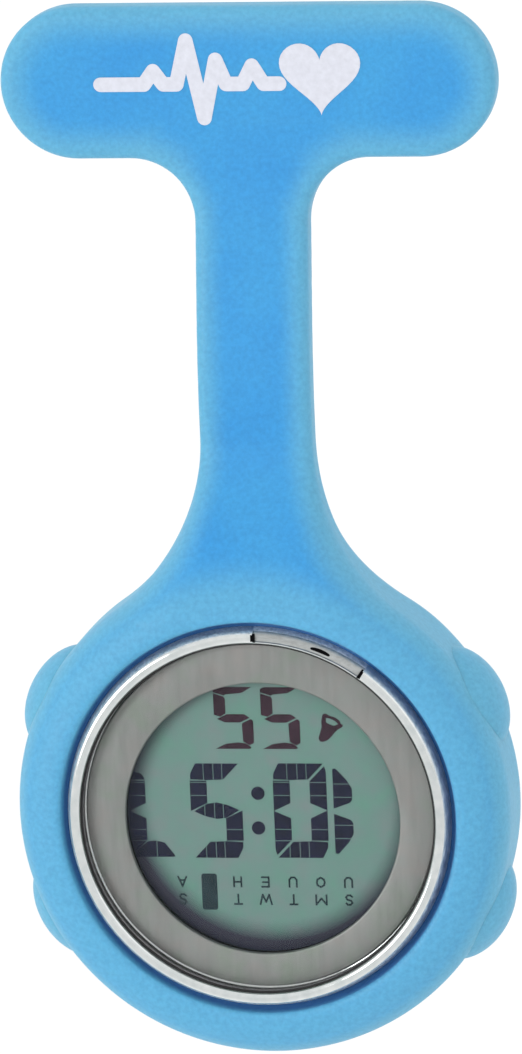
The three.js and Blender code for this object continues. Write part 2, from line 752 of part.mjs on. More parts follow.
add(head, "clamp_screw_left", screw(-CLAMP_SCREW_X, 0, -4.14), material.steel);
add(head, "clamp_screw_right", screw(CLAMP_SCREW_X, 0, -4.14), material.steel);
add(head, "buzzer_plate", buzzerPlate(), material.brass);
add(head, "buzzer_ceramic", buzzerCeramic(), material.ceramic);
add(head, "buzzer_spring", buzzerSpring(), material.brass);

BUTTONS.forEach(([place, angle]) => {
  add(head, `button_dome_${place}`, buttonDome(angle), material.silicone);
  add(head, `pusher_${place}`, pusher(angle), material.steel);
  add(head, `pusher_spring_${place}`, pusherSpring(angle), material.steel);
  add(head, `pusher_seal_${place}`, pusherSeal(angle), material.rubber);
  add(head, `pusher_clip_${place}`, pusherClip(angle), material.steel);
});

export default fob;
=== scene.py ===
import math

import bmesh
import bpy
import numpy as np
from mathutils import Matrix, Vector


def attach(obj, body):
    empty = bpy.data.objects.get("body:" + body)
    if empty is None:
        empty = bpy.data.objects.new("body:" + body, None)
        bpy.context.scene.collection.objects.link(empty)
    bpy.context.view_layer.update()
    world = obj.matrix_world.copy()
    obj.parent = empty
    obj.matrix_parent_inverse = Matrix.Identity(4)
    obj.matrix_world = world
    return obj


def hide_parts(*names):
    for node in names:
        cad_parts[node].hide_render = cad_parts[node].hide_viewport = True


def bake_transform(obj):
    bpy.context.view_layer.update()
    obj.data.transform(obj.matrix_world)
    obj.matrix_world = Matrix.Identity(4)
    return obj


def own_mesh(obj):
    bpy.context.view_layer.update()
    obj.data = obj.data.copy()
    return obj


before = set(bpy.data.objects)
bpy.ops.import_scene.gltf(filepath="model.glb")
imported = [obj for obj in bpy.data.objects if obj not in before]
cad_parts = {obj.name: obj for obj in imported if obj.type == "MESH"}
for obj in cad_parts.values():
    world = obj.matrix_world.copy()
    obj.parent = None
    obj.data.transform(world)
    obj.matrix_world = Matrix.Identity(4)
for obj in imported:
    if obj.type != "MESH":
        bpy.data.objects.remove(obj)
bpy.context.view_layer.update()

# A silicone fob watch with a digital display, pinned by a brooch bar. Lengths are in millimetres, in the
# row frame, until mesh_piece turns them into metres. "Head" is the watch in its round pocket.

MM = 0.001
HEAD_Z = -59.5  # the head's axis, parallel to Y
BUTTON_Y = -6.2  # the buttons' axes lie in this plane
BUTTONS = {"upper_right": 27.5, "upper_left": 152.5, "lower_left": 207.5, "lower_right": -27.5}  # degrees

# ---- Camera ----------------------------------------------------------------

AZIMUTH, ELEVATION, ROLL = math.radians(11.30), math.radians(12.76), math.radians(-2.473)
DISTANCE = 900.0
TARGET = Vector((-0.04, -5.0, -36.67))
FOCAL_PIXELS, IMAGE_HEIGHT, SENSOR = 11008.6, 1054, 36
back = Vector((
    math.sin(AZIMUTH) * math.cos(ELEVATION),
    -math.cos(AZIMUTH) * math.cos(ELEVATION),
    math.sin(ELEVATION),
))
right = (-back).cross(Vector((0, 0, 1))).normalized()
up = right.cross(-back)
side = right * math.cos(ROLL) + up * math.sin(ROLL)
top = up * math.cos(ROLL) - right * math.sin(ROLL)
turn = Matrix((side, top, back)).transposed()
camera = bpy.data.objects.new("camera", bpy.data.cameras.new("camera"))
camera.data.sensor_width = SENSOR
camera.data.lens = FOCAL_PIXELS * SENSOR / IMAGE_HEIGHT
camera.data.clip_start, camera.data.clip_end = 0.01, 100
camera.matrix_world = Matrix.Translation((TARGET + back * DISTANCE) * MM) @ turn.to_4x4()
bpy.context.scene.collection.objects.link(camera)
bpy.context.scene.camera = camera


# ---- Mesh helpers ----------------------------------------------------------

def mesh_piece(name, verts, faces, material, body="head", smooth=True):
    """A piece from points in millimetres, riding on a body if one is given."""
    mesh = bpy.data.meshes.new(name)
    mesh.from_pydata((np.asarray(verts, float) * MM).tolist(), [], [list(map(int, f)) for f in faces])
    shape = bmesh.new()
    shape.from_mesh(mesh)
    bmesh.ops.recalc_face_normals(shape, faces=shape.faces)
    shape.to_mesh(mesh)
    shape.free()
    mesh.materials.append(material)
    mesh.polygons.foreach_set("use_smooth", [smooth] * len(mesh.polygons))
    obj = bpy.data.objects.new(name, mesh)
    bpy.context.scene.collection.objects.link(obj)
    if body:
        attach(obj, body)
    return obj


def crisp(obj, degrees=35):
    """Keeps edges sharper than this as hard shading edges."""
    obj.data.set_sharp_from_angle(angle=math.radians(degrees))


def grid_faces(rows, columns, wrap_rows=True, wrap_columns=True):
    """Quads of a rows by columns grid of points, each way either closed on itself or open."""
    faces = []
    for i in range(rows if wrap_rows else rows - 1):
        for j in range(columns if wrap_columns else columns - 1):
            here, there, after = i * columns, (i + 1) % rows * columns, (j + 1) % columns
            faces.append((here + j, here + after, there + after, there + j))
    return faces


def turned_faces(segments, columns, solid):
    """Quads of a turned profile: a closed ring's profile wraps, and a solid's two ends get flat discs."""
    faces = grid_faces(segments, columns, True, not solid)
    if solid:
        faces += [tuple(i * columns + end for i in range(segments)) for end in (0, columns - 1)]
    return faces


def lathe(profile, segments=256, solid=False):
    """Points and faces of a [radius, y] profile turned round the head's axis."""
    angles = np.linspace(0, 2 * math.pi, segments, endpoint=False)
    r, y = (np.broadcast_to(column, (segments, len(profile))) for column in np.array(profile, float).T)
    verts = np.stack([r * np.cos(angles)[:, None], y, HEAD_Z + r * np.sin(angles)[:, None]], -1)
    return verts.reshape(-1, 3), turned_faces(segments, len(profile), solid)


def turned_about(profile, centre, axis, segments=40, solid=False):
    """Points and faces of a [radius, height] profile turned round any axis."""
    axis = np.array(axis, float)
    side = np.cross(axis, (0.31, 0.52, 0.79))
    side /= np.linalg.norm(side)
    other = np.cross(axis, side)
    turns = np.linspace(0, 2 * math.pi, segments, endpoint=False)
    verts = [centre + axis * h + r * (side * math.cos(t) + other * math.sin(t))
             for t in turns for r, h in profile]
    return verts, turned_faces(segments, len(profile), solid)


def directions(degrees):
    """Unit vectors out from the head's axis at an angle, and across it."""
    a = math.radians(degrees)
    return np.array((math.cos(a), 0, math.sin(a))), np.array((-math.sin(a), 0, math.cos(a)))


def joined(*parts):
    """Several (points, faces) as one."""
    verts, faces = [], []
    for v, f in parts:
        faces += [tuple(i + len(verts) for i in q) for q in f]
        verts += [tuple(q) for q in v]
    return verts, faces


def rounded(points, radius, steps=4):
    """A closed polygon with its corners rounded; a corner may give its own radius as a third number."""
    out = []
    n = len(points)
    for i in range(n):
        p = np.array(points[i][:2], float)
        a, b = np.array(points[i - 1][:2], float), np.array(points[(i + 1) % n][:2], float)
        r = points[i][2] if len(points[i]) > 2 else radius
        da, db = a - p, b - p
        la, lb = np.linalg.norm(da), np.linalg.norm(db)
        da, db = da / la, db / lb
        half = math.acos(max(-1, min(1, float(da @ db)))) / 2
        if r <= 0 or half > math.radians(88):
            out.append(tuple(p))
            continue
        cut = min(r / math.tan(half), la * 0.45, lb * 0.45)
        r = cut * math.tan(half)
        middle = p + (da + db) / np.linalg.norm(da + db) * r / math.sin(half)
        start, end = p + da * cut - middle, p + db * cut - middle
        sweep = math.atan2(start[0] * end[1] - start[1] * end[0], start @ end)
        for k in range(steps + 1):
            t = sweep * k / steps
            c, s = math.cos(t), math.sin(t)
            out.append((middle[0] + start[0] * c - start[1] * s, middle[1] + start[0] * s + start[1] * c))
    return out


def prisms(polygons, y_front, thickness, centre=(0, HEAD_Z)):
    """Thin flat shapes facing -Y from polygons of (x, z) about a centre."""
    verts, faces = [], []
    for poly in polygons:
        p = np.array(poly, float)
        area = np.sum(p[:, 0] * np.roll(p[:, 1], -1) - np.roll(p[:, 0], -1) * p[:, 1])
        p = p if area > 0 else p[::-1]
        n, base = len(p), len(verts)
        verts += [(centre[0] + x, y, centre[1] + z) for y in (y_front, y_front + thickness) for x, z in p]
        ring = [base + i for i in range(n)]
        faces += [tuple(ring), tuple(i + n for i in reversed(ring))]
        faces += [(a, a + n, b + n, b) for a, b in zip(ring, ring[1:] + ring[:1])]
    return verts, faces


def layered(polygons, y_front, thickness, layers, lift, centre=(0, HEAD_Z)):
    """Thin flat shapes that overlap, each lifted a little off the last so that no two faces coincide."""
    return joined(*(prisms([p], y_front - lift * (k % layers), thickness, centre)
                    for k, p in enumerate(polygons)))


def stroke(a, b, thick, overrun=0.0):
    """A straight bar from a to b as a polygon, longer at each end by a share of its thickness."""
    a, b = np.array(a), np.array(b)
    along = (b - a) / np.linalg.norm(b - a)
    across = np.array((-along[1], along[0])) * thick / 2
    along = along * thick * overrun
    return [tuple(p) for p in (a - along + across, a - along - across, b + along - across, b + along + across)]


def circle(x, z, r, n=28):
    """A circle as a polygon with n corners."""
    turns = [2 * math.pi * k / n for k in range(n)]
    return [(x + r * math.cos(t), z + r * math.sin(t)) for t in turns]


def sweep(path, radius, sides):
    """A round tube along a path, closed at both ends; radius may be one number for each point."""
    path = np.array(path, float)
    radii = np.broadcast_to(np.asarray(radius, float), (len(path),))
    tangent = np.gradient(path, axis=0)
    tangent /= np.linalg.norm(tangent, axis=1)[:, None]
    normal = np.cross(tangent[0], (0.3, 0.2, 0.9))
    turns = np.linspace(0, 2 * math.pi, sides, endpoint=False)[:, None]
    rings = []
    for p, t, r in zip(path, tangent, radii):
        normal = normal - t * (normal @ t)
        normal /= np.linalg.norm(normal)
        rings.append(p + r * (np.cos(turns) * normal + np.sin(turns) * np.cross(t, normal)))
    verts = np.concatenate(rings)
    faces = grid_faces(len(path), sides, False, True)
    faces += [tuple(range(sides)), tuple(range(len(verts) - sides, len(verts)))]
    return verts, faces


# ---- Materials -------------------------------------------------------------

def new_material(name, color, roughness, metallic=0.0, **constants):
    """A Principled material and its node tree, with constants set straight on the shader."""
    material = bpy.data.materials.new(name)
    material.use_nodes = True
    tree = material.node_tree
    shader = tree.nodes["Principled BSDF"]
    shader.inputs["Base Color"].default_value = (*color, 1)
    shader.inputs["Roughness"].default_value = roughness
    shader.inputs["Metallic"].default_value = metallic
    for key, value in constants.items():
        shader.inputs[key.replace("_", " ")].default_value = value
    return material, tree, shader


def linear(r, g, b):
    """A 0 to 255 colour as linear light."""
    return tuple(((c / 255 + 0.055) / 1.055) ** 2.4 if c > 10 else c / 255 / 12.92 for c in (r, g, b))


def node(tree, kind, **settings):
    """A new node; each setting is an input's value or a property."""
    made = tree.nodes.new(kind)
    for key, value in settings.items():
        if key in made.inputs:
            made.inputs[key].default_value = value
        else:
            setattr(made, key, value)
    return made


def noise(tree, scale, detail=3.0, roughness=0.55, stretch=None):
    """A noise texture in object space; scale is in lumps per metre."""
    place = node(tree, "ShaderNodeTexCoord")
    texture = node(tree, "ShaderNodeTexNoise", Scale=scale, Detail=detail, Roughness=roughness)
    source = place.outputs["Object"]
    if stretch:
        mapping = node(tree, "ShaderNodeMapping", Scale=stretch)
        tree.links.new(source, mapping.inputs["Vector"])
        source = mapping.outputs["Vector"]
    tree.links.new(source, texture.inputs["Vector"])
    return texture.outputs["Fac"]


def ramp(tree, value, stops):
    """Linear-light colours that follow a value through (value, colour) stops."""
    made = node(tree, "ShaderNodeValToRGB")
    elements = made.color_ramp.elements
    while len(elements) < len(stops):
        elements.new(0.5)
    for element, (place, color) in zip(elements, stops):
        element.position = place
        element.color = (*color, 1)
    tree.links.new(value, made.inputs["Fac"])
    return made.outputs["Color"]


def bump(tree, shader, height, strength, distance):
    made = node(tree, "ShaderNodeBump", Strength=strength, Distance=distance)
    tree.links.new(height, made.inputs["Height"])
    tree.links.new(made.outputs["Normal"], shader.inputs["Normal"])


def vary(tree, shader, value, color=(), roughness=()):
    """Drives the shader's colour (0 to 255), its roughness or both from a value, by (value, result) stops."""
    if color:
        made = ramp(tree, value, [(place, linear(*c)) for place, c in color])
        tree.links.new(made, shader.inputs["Base Color"])
    if roughness:
        made = ramp(tree, value, [(place, (r,) * 3) for place, r in roughness])
        tree.links.new(made, shader.inputs["Roughness"])


def mix(tree, factor, a, b, blend="MIX"):
    made = node(tree, "ShaderNodeMix", data_type="RGBA", blend_type=blend)
    for value, socket in ((factor, made.inputs[0]), (a, made.inputs[6]), (b, made.inputs[7])):
        if isinstance(value, bpy.types.NodeSocket):
            tree.links.new(value, socket)
        else:
            socket.default_value = value if isinstance(value, float) else (*value, 1)
    return made.outputs[2]


def math_node(tree, operation, a, b=None, c=None, clamp=False):
    made = node(tree, "ShaderNodeMath", operation=operation, use_clamp=clamp)
    for value, socket in zip((a, b, c), made.inputs):
        if isinstance(value, bpy.types.NodeSocket):
            tree.links.new(value, socket)
        elif value is not None:
            socket.default_value = value
    return made.outputs[0]


def silicone_material():
    """Translucent matte silicone. The mesh carries painted light: pale where it is thin near its edges (edge), a
    painted rim light, and dark in the recess between the lip and the bezel, a painted shade.
    """
    made, tree, shader = new_material(
        "silicone", linear(70, 150, 205), 0.5,
        Subsurface_Weight=0.3, Subsurface_Scale=0.0015, Subsurface_Radius=(0.3, 0.7, 1.0),
        IOR=1.41, Sheen_Weight=0.05, Sheen_Roughness=0.4,
    )
    soft = noise(tree, 130, 2.0, 0.5)
    tone = ramp(tree, soft, [(0.32, linear(44, 141, 202)), (0.68, linear(54, 148, 203))])
    # Painted rim light: paler towards the silicone's edges, where light shows through it.
    edge = node(tree, "ShaderNodeAttribute", attribute_name="edge")
    pale = mix(tree, edge.outputs["Fac"], tone, linear(90, 163, 195))
    # Painted shade: dark blue in the recess between the lip and the bezel.
    recess_shade = node(tree, "ShaderNodeAttribute", attribute_name="recess_shade")
    dark = mix(tree, recess_shade.outputs["Fac"], pale, linear(47, 96, 152))
    grain = noise(tree, 2600, 2.0, 0.6)
    speck = ramp(tree, grain, [(0.3, (0.88, 0.90, 0.92)), (0.7, (1.08, 1.06, 1.05))])
    tree.links.new(mix(tree, 1.0, dark, speck, "MULTIPLY"), shader.inputs["Base Color"])
    vary(tree, shader, soft, roughness=[(0.3, 0.46), (0.7, 0.58)])
    bump(tree, shader, grain, 0.18, 0.00005)
    return made


def chrome_material():
    """Polished chrome with faint smudges."""
    made, tree, shader = new_material("chrome", linear(206, 210, 210), 0.09, 1.0)
    smudge = noise(tree, 900, 4.0, 0.6)
    vary(tree, shader, smudge, [(0.3, (196, 202, 202)), (0.7, (214, 217, 216))], [(0.35, 0.06), (0.75, 0.17)])
    return made


def steel_material(name, color, roughness, stretch, strength=0.25):
    """Brushed steel: streaks along one direction in colour, roughness and height."""
    made, tree, shader = new_material(name, linear(*color), roughness, 1.0)
    streak = noise(tree, 4200, 3.0, 0.6, stretch)
    low, high = [c * 0.93 for c in color], [min(255, c * 1.06) for c in color]
    vary(tree, shader, streak, [(0.35, low), (0.65, high)], [(0.3, roughness - 0.08), (0.7, roughness + 0.1)])
    bump(tree, shader, streak, strength, 0.00002)
    return made


def turned_steel_material():
    """Steel with fine rings round the head's axis."""
    made, tree, shader = new_material("steel_lathe_turned", linear(165, 168, 171), 0.3, 1.0)
    place = node(tree, "ShaderNodeTexCoord")
    mapping = node(tree, "ShaderNodeMapping", Location=(0, 0, -HEAD_Z * MM))
    tree.links.new(place.outputs["Object"], mapping.inputs["Vector"])
    rings = node(tree, "ShaderNodeTexWave", wave_type="RINGS", rings_direction="Y",
                 Scale=1500.0, Distortion=0.25, Detail=1.0)
    tree.links.new(mapping.outputs["Vector"], rings.inputs["Vector"])
    groove = rings.outputs["Fac"]
    vary(tree, shader, groove, [(0.0, (150, 153, 156)), (1.0, (178, 181, 184))])
    vary(tree, shader, noise(tree, 700, 4.0, 0.6), roughness=[(0.3, 0.24), (0.7, 0.4)])
    bump(tree, shader, groove, 0.06, 0.00002)
    return made


def dial_material():
    """The satin ring round the display: fine upright brushing over a soft warm and green mottle."""
    made, tree, shader = new_material("dial_satin", linear(157, 161, 156), 0.46, 0.75)
    mottle = noise(tree, 330, 3.0, 0.6)
    tint = ramp(tree, mottle, [(0.30, linear(151, 161, 151)), (0.5, linear(158, 161, 158)),
                               (0.70, linear(162, 160, 157))])
    streak = noise(tree, 2200, 2.0, 0.6, (1.0, 1.0, 0.12))
    line = ramp(tree, streak, [(0.3, (0.90,) * 3), (0.7, (1.05,) * 3)])
    tree.links.new(mix(tree, 1.0, tint, line, "MULTIPLY"), shader.inputs["Base Color"])
    vary(tree, shader, streak, roughness=[(0.3, 0.40), (0.7, 0.54)])
    bump(tree, shader, streak, 0.2, 0.00002)
    return made


def display_material():
    """The display's green-grey reflector, mottled, and dark where the ring round it shades its edge."""
    made, tree, shader = new_material("display_cell", linear(115, 152, 144), 0.38)
    mottle = noise(tree, 420, 3.0, 0.6)
    tint = ramp(tree, mottle, [(0.30, linear(107, 157, 141)), (0.5, linear(115, 152, 144)),
                               (0.72, linear(128, 148, 146))])
    clear, fade = 9.9 * MM, 1.8 * MM  # radius where the shade starts, and the width over which it grows
    place = node(tree, "ShaderNodeTexCoord")
    split = node(tree, "ShaderNodeSeparateXYZ")
    tree.links.new(place.outputs["Object"], split.inputs[0])
    x = math_node(tree, "SUBTRACT", split.outputs["X"], 0.75 * MM)
    z = math_node(tree, "SUBTRACT", split.outputs["Z"], (HEAD_Z + 0.75) * MM)
    radius = math_node(tree, "SQRT", math_node(tree, "ADD", math_node(tree, "MULTIPLY", x, x),
                                               math_node(tree, "MULTIPLY", z, z)))
    shade = math_node(tree, "MULTIPLY_ADD", radius, 1 / fade, -clear / fade, clamp=True)
    color = mix(tree, math_node(tree, "POWER", shade, 1.3), tint, linear(34, 34, 58))
    tree.links.new(color, shader.inputs["Base Color"])
    bump(tree, shader, mottle, 0.05, 0.00005)
    return made


def plain_material(name, color, roughness, metallic=0.0, scale=900, spread=0.06, height=0.1, **constants):
    """A moulded or painted surface: slight colour and gloss variation with a fine grain."""
    made, tree, shader = new_material(name, linear(*color), roughness, metallic, **constants)
    grain = noise(tree, scale, 4.0, 0.6)
    low, high = [c * (1 - spread) for c in color], [min(255, c * (1 + spread)) for c in color]
    vary(tree, shader, grain, [(0.3, low), (0.7, high)],
         [(0.3, max(0.02, roughness - 0.06)), (0.7, min(1, roughness + 0.08))])
    bump(tree, shader, grain, height, 0.00003)
    return made


def glass_material():
    """Clear mineral glass, thin enough to look straight through."""
    made, tree, shader = new_material("lens_glass", (0.02, 0.03, 0.03), 0.02, 0.0, Alpha=0.12, IOR=1.5)
    vary(tree, shader, noise(tree, 240, 3.0, 0.5), roughness=[(0.4, 0.015), (0.8, 0.06)])
    return made


silicone = silicone_material()
chrome = chrome_material()
steel = steel_material("steel_satin", (158, 160, 163), 0.3, (0.06, 1.0, 1.0))
steel_dull = steel_material("steel_dull", (168, 171, 170), 0.36, (0.3, 1.0, 1.0), 0.15)
steel_wall = steel_material("steel_wall", (222, 226, 226), 0.5, (1.0, 1.0, 0.3), 0.05)
# A dull grey steel for painted shade on chrome walls out of the light.
steel_shade = steel_material("steel_shade", (158, 155, 160), 0.4, (1.0, 1.0, 0.3), 0.1)
steel_round = steel_material("steel_turned", (160, 163, 166), 0.3, (1.0, 0.1, 1.0), 0.15)
steel_back = turned_steel_material()
dial = dial_material()
display = display_material()
glass = glass_material()
navy = plain_material("display_ink_navy", (33, 34, 56), 0.6, scale=1600, spread=0.2, Specular_IOR_Level=0.1)
maroon = plain_material("display_ink_maroon", (60, 40, 52), 0.6, scale=1600, spread=0.2, Specular_IOR_Level=0.1)
teal = plain_material("display_ink_teal", (44, 60, 66), 0.6, scale=1600, spread=0.15, Specular_IOR_Level=0.1)
mark_white = plain_material("print_white", (199, 201, 211), 0.6, scale=1800, spread=0.03)
# Near-black for painted shadow in gaps, slots and the display's opening.
painted_shadow_black = plain_material("painted_shadow_black", (6, 6, 8), 0.8, Specular_IOR_Level=0.05)
black = plain_material("black_plastic", (24, 25, 30), 0.5)
rubber = plain_material("seal_rubber", (22, 22, 24), 0.72)
ivory = plain_material("ivory_plastic", (222, 217, 203), 0.5)
board = plain_material("solder_mask", (26, 84, 50), 0.4, spread=0.1)
brass = plain_material("brass_plate", (196, 164, 92), 0.3, 1.0)
ceramic = plain_material("ceramic_disc", (214, 210, 198), 0.55)


# ---- Silicone moulding -----------------------------------------------------

def smooth_cut(a, b, r):
    """Intersection of two distance fields with its edge rounded to radius r."""
    u, v = np.maximum(a + r, 0), np.maximum(b + r, 0)
    return np.minimum(-r, np.maximum(a, b)) + np.hypot(u, v)


def smooth_join(a, b, k):
    """Union of two distance fields with a fillet of about size k."""
    h = np.clip(0.5 + 0.5 * (b - a) / k, 0, 1)
    return b + (a - b) * h - k * h * (1 - h)


def box_field(p, low, high, edge=0.0):
    """Signed distance to a box with its edges rounded."""
    centre, half = (np.array(low) + high) / 2, (np.array(high) - low) / 2 - edge
    q = np.abs(p - centre) - half
    return np.linalg.norm(np.maximum(q, 0), axis=-1) + np.minimum(q.max(-1), 0) - edge


def polygon_field(x, y, points):
    """Signed distance to a closed polygon, negative inside."""
    d = np.full(x.shape, 1e9)
    sign = np.ones(x.shape)
    n = len(points)
    for i in range(n):
        (ax, ay), (bx, by) = points[i], points[i - 1]
        ex, ey = bx - ax, by - ay
        wx, wy = x - ax, y - ay
        t = np.clip((wx * ex + wy * ey) / (ex * ex + ey * ey), 0, 1)
        d = np.minimum(d, (wx - ex * t) ** 2 + (wy - ey * t) ** 2)
        c1, c2, c3 = y >= ay, y < by, ex * wy > ey * wx
        sign = np.where((c1 & c2 & c3) | (~c1 & ~c2 & ~c3), -sign, sign)
    return sign * np.sqrt(d)


BAR_X, BAR_R = 14.2, 6.3  # the bar's end centres and its half height
NECK = 4.68  # the strap's half width
FILLET_R = 5.25  # between the bar and the strap
HEAD_R, FLARE_R = 20.45, 16.5  # the pocket, and the hollow curve that runs from it into the strap
FLARE_X = NECK + FLARE_R
FLARE_Z = math.sqrt((HEAD_R + FLARE_R) ** 2 - FLARE_X ** 2)
LIP_R = 16.4  # the opening that the bezel shows through
HOLE, HOLE_START = 2.9, 14.0  # radius of the holes under the buttons' bumps, and where they start
FRONT, BACK = -3.8, -0.8  # the bar's two faces
BOW, POCKET = 2.6, 5.85  # how far forward the strap bows, and how far the pocket stands in front of it
# The watch's room, as [radius, y]: the opening at the back, the groove for the case, and the lip.
CAVITY = [(0, 3), (12.0, 3), (12.0, -1.9), (15.8, -1.9), (16.3, -2.8), (16.3, -8.9), (15.65, -9.7),
          (15.65, -10.9), (16.2, -11.2), (LIP_R, -11.7), (LIP_R, -15), (0, -15)]


def outline_field(x, z):
    """The moulding's front outline: bar, neck, fillets, flare and head."""
    ax, zh = np.abs(x), z - HEAD_Z
    bar = np.hypot(np.maximum(ax - BAR_X, 0), z) - BAR_R
    neck = np.maximum(ax - NECK, np.maximum(z, HEAD_Z - z))
    fx, fz = NECK + FILLET_R, -BAR_R - FILLET_R
    fillet = np.maximum(FILLET_R - np.hypot(ax - fx, z - fz), np.maximum(np.maximum(ax - fx, fz - z), z))
    slant = (ax * FLARE_Z - zh * FLARE_X) / math.hypot(FLARE_X, FLARE_Z)
    flare = np.maximum(FLARE_R - np.hypot(ax - FLARE_X, zh - FLARE_Z), np.maximum(zh - FLARE_Z, slant))
    head = np.hypot(x, zh) - HEAD_R
    return np.minimum(np.minimum(np.minimum(bar, neck), np.minimum(fillet, flare)), head)


def step_between(z, a, b):
    """0 at a and beyond, 1 at b and beyond, smooth between."""
    t = np.clip((z - a) / (b - a), 0, 1)
    return t * t * (3 - 2 * t)


def button_frame(p, angle):
    """Distance out along a button's axis, then the two distances across it."""
    a = math.radians(angle)
    x, z = p[..., 0], p[..., 2] - HEAD_Z
    return x * math.cos(a) + z * math.sin(a), z * math.cos(a) - x * math.sin(a), p[..., 1] - BUTTON_Y


def moulding_field(p):
    """Signed distance, in millimetres, to the moulding before its button holes."""
    x, y, z = p[..., 0], p[..., 1], p[..., 2]
    outline = outline_field(x, z)
    forward, rise, fall = step_between(z, -4, -27), step_between(z, -29, -44), step_between(z, -36, -45)
    along = np.clip((z + 29) / -15, 0, 1)  # along the rise, whose slope would stretch the distance
    slope = np.hypot(POCKET * 6 * along * (1 - along) / 15, 0.12)
    front = (FRONT - BOW * forward - POCKET * rise - y) / np.sqrt(1 + slope ** 2)
    rear = (y - BACK + BOW * forward * (1 - fall)) / np.sqrt(1 + 0.15 * forward * (1 - fall))
    solid = smooth_cut(outline, front, 0.95 + 2.65 * rise)
    solid = smooth_cut(solid, rear, 0.85 + 2.6 * rise)
    for middle in (-6.2, 6.2):  # the two loops that hold the brooch bar
        rib = box_field(p, (middle - 1.8, -1.6, -3.9), (middle + 1.8, 1.0, 3.9), 0.45)
        solid = smooth_join(solid, rib, 0.5)
        gap = box_field(p, (middle - 3.5, -0.82, -2.6), (middle + 3.5, 0.06, 2.6), 0.1)
        solid = np.maximum(solid, -gap)
    radius = np.hypot(x, z - HEAD_Z)
    return smooth_cut(solid, -polygon_field(radius, y, CAVITY), 0.4)


def silicone_field(p):
    """The moulding with a hole under each button's bump."""
    solid = moulding_field(p)
    for angle in BUTTONS.values():
        out, across, along = button_frame(p, angle)
        solid = np.maximum(solid, -np.maximum(np.hypot(across, along) - HOLE, HOLE_START - out))
    return solid


def surface_net(field, low, high, step):
    """Quads on a field's zero surface: one point for each grid cell that the surface crosses."""
    axes = [np.arange(a, b + step, step) for a, b in zip(low, high)]
    shape = tuple(len(a) for a in axes)
    value = np.empty(shape, np.float32)
    for i in range(0, shape[0], 16):
        grid = np.stack(np.meshgrid(axes[0][i:i + 16], axes[1], axes[2], indexing="ij"), -1)
        value[i:i + 16] = field(grid)
    inside = value < 0
    cells = tuple(s - 1 for s in shape)
    total = np.zeros(cells + (3,))
    count = np.zeros(cells)
    corner = np.stack(np.meshgrid(*[a[:-1] for a in axes], indexing="ij"), -1)
    for axis in range(3):
        others = [k for k in range(3) if k != axis]
        for offsets in ((0, 0), (0, 1), (1, 0), (1, 1)):
            start, end = [slice(0, c) for c in cells], [slice(0, c) for c in cells]
            for k, d in zip(others, offsets):
                start[k] = end[k] = slice(d, cells[k] + d)
            end[axis] = slice(1, cells[axis] + 1)
            v0, v1 = value[tuple(start)], value[tuple(end)]
            crossing = (v0 < 0) != (v1 < 0)
            t = np.where(crossing, v0 / np.where(crossing, v0 - v1, 1), 0)
            total[..., axis] += np.where(crossing, t * step, 0)
            for k, d in zip(others, offsets):
                total[..., k] += np.where(crossing, d * step, 0)
            count += crossing
    used = count > 0
    index = np.full(cells, -1)
    index[used] = np.arange(used.sum())
    points = corner[used] + total[used] / count[used][:, None]
    faces = []
    for axis in range(3):
        b, c = [(1, 2), (2, 0), (0, 1)][axis]
        start, end = [slice(1, -1)] * 3, [slice(1, -1)] * 3
        start[axis], end[axis] = slice(0, shape[axis] - 1), slice(1, shape[axis])
        i0, i1 = inside[tuple(start)], inside[tuple(end)]
        where = np.argwhere(i0 != i1)
        flip = i0[i0 != i1]
        base = where + 1
        base[:, axis] = where[:, axis]
        quad = []
        for db, dc in ((1, 1), (0, 1), (0, 0), (1, 0)):
            at = base.copy()
            at[:, b] -= db
            at[:, c] -= dc
            quad.append(index[at[:, 0], at[:, 1], at[:, 2]])
        quad = np.stack(quad, 1)
        quad[~flip] = quad[~flip][:, ::-1]
        faces.append(quad)
    for _ in range(3):
        points = project_to(field, points, step)
    return points, np.concatenate(faces)


def gradient(field, p, h=0.02):
    g = np.empty_like(p)
    for k in range(3):
        d = np.zeros(3)
        d[k] = h
        g[:, k] = (field(p + d) - field(p - d)) / (2 * h)
    return g


def project_to(field, p, most):
    """Moves points towards the field's zero surface, each by half of the grid's step at most."""
    g = gradient(field, p)
    size = np.maximum((g * g).sum(1), 0.2)
    move = -g * (field(p) / size)[:, None]
    length = np.linalg.norm(move, axis=1)
    return p + move * np.minimum(1, 0.5 * most / np.maximum(length, 1e-9))[:, None]


def paint_silicone(obj):
    """Marks each point with painted light: pale near the outline and the head's rim, a painted rim light where
    the silicone is thin, and dark in the recess between the lip and the bezel, a painted shade.
    """
    x, y, z = np.array([v.co for v in obj.data.vertices]).T / MM
    radius = np.hypot(x, z - HEAD_Z)
    inward = -outline_field(x, z)
    # Painted rim light: pale within reach of the outline, on the head's outer rim and on its lower sides.
    reach = 2.7 + 0.6 * step_between(z, -34, -44) + 0.9 * step_between(z, -8, -5)
    edge = 1 - np.clip(inward / reach, 0, 1)
    edge = edge * edge * (3 - 2 * edge)
    edge = np.maximum(edge, 0.75 * step_between(radius, 22.0, 18.5))
    edge = np.maximum(edge, 0.9 * step_between(radius, 20.3, 20.9) * (z < HEAD_Z + 15))
    # Painted shade in the recess inside the lip, in front of the bezel.
    recess_shade = step_between(np.hypot(x - 0.08, z - HEAD_Z), 16.5, 16.28) * (y < -9)
    for name, value in (("edge", edge), ("recess_shade", recess_shade)):
        layer = obj.data.attributes.new(name, "FLOAT", "POINT")
        layer.data.foreach_set("value", value.astype(np.float32))


def silicone_fob():
    """The bar, strap and pocket in one piece, left on no body."""
    step = 0.28
    points, faces = surface_net(silicone_field, (-22.2, -13.1, -81.0), (22.2, 1.8, 7.1), step)
    obj = mesh_piece("silicone_fob", points, faces, silicone, body=None)
    paint_silicone(obj)
    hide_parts("fob_bar", "fob_pocket")
    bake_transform(obj)


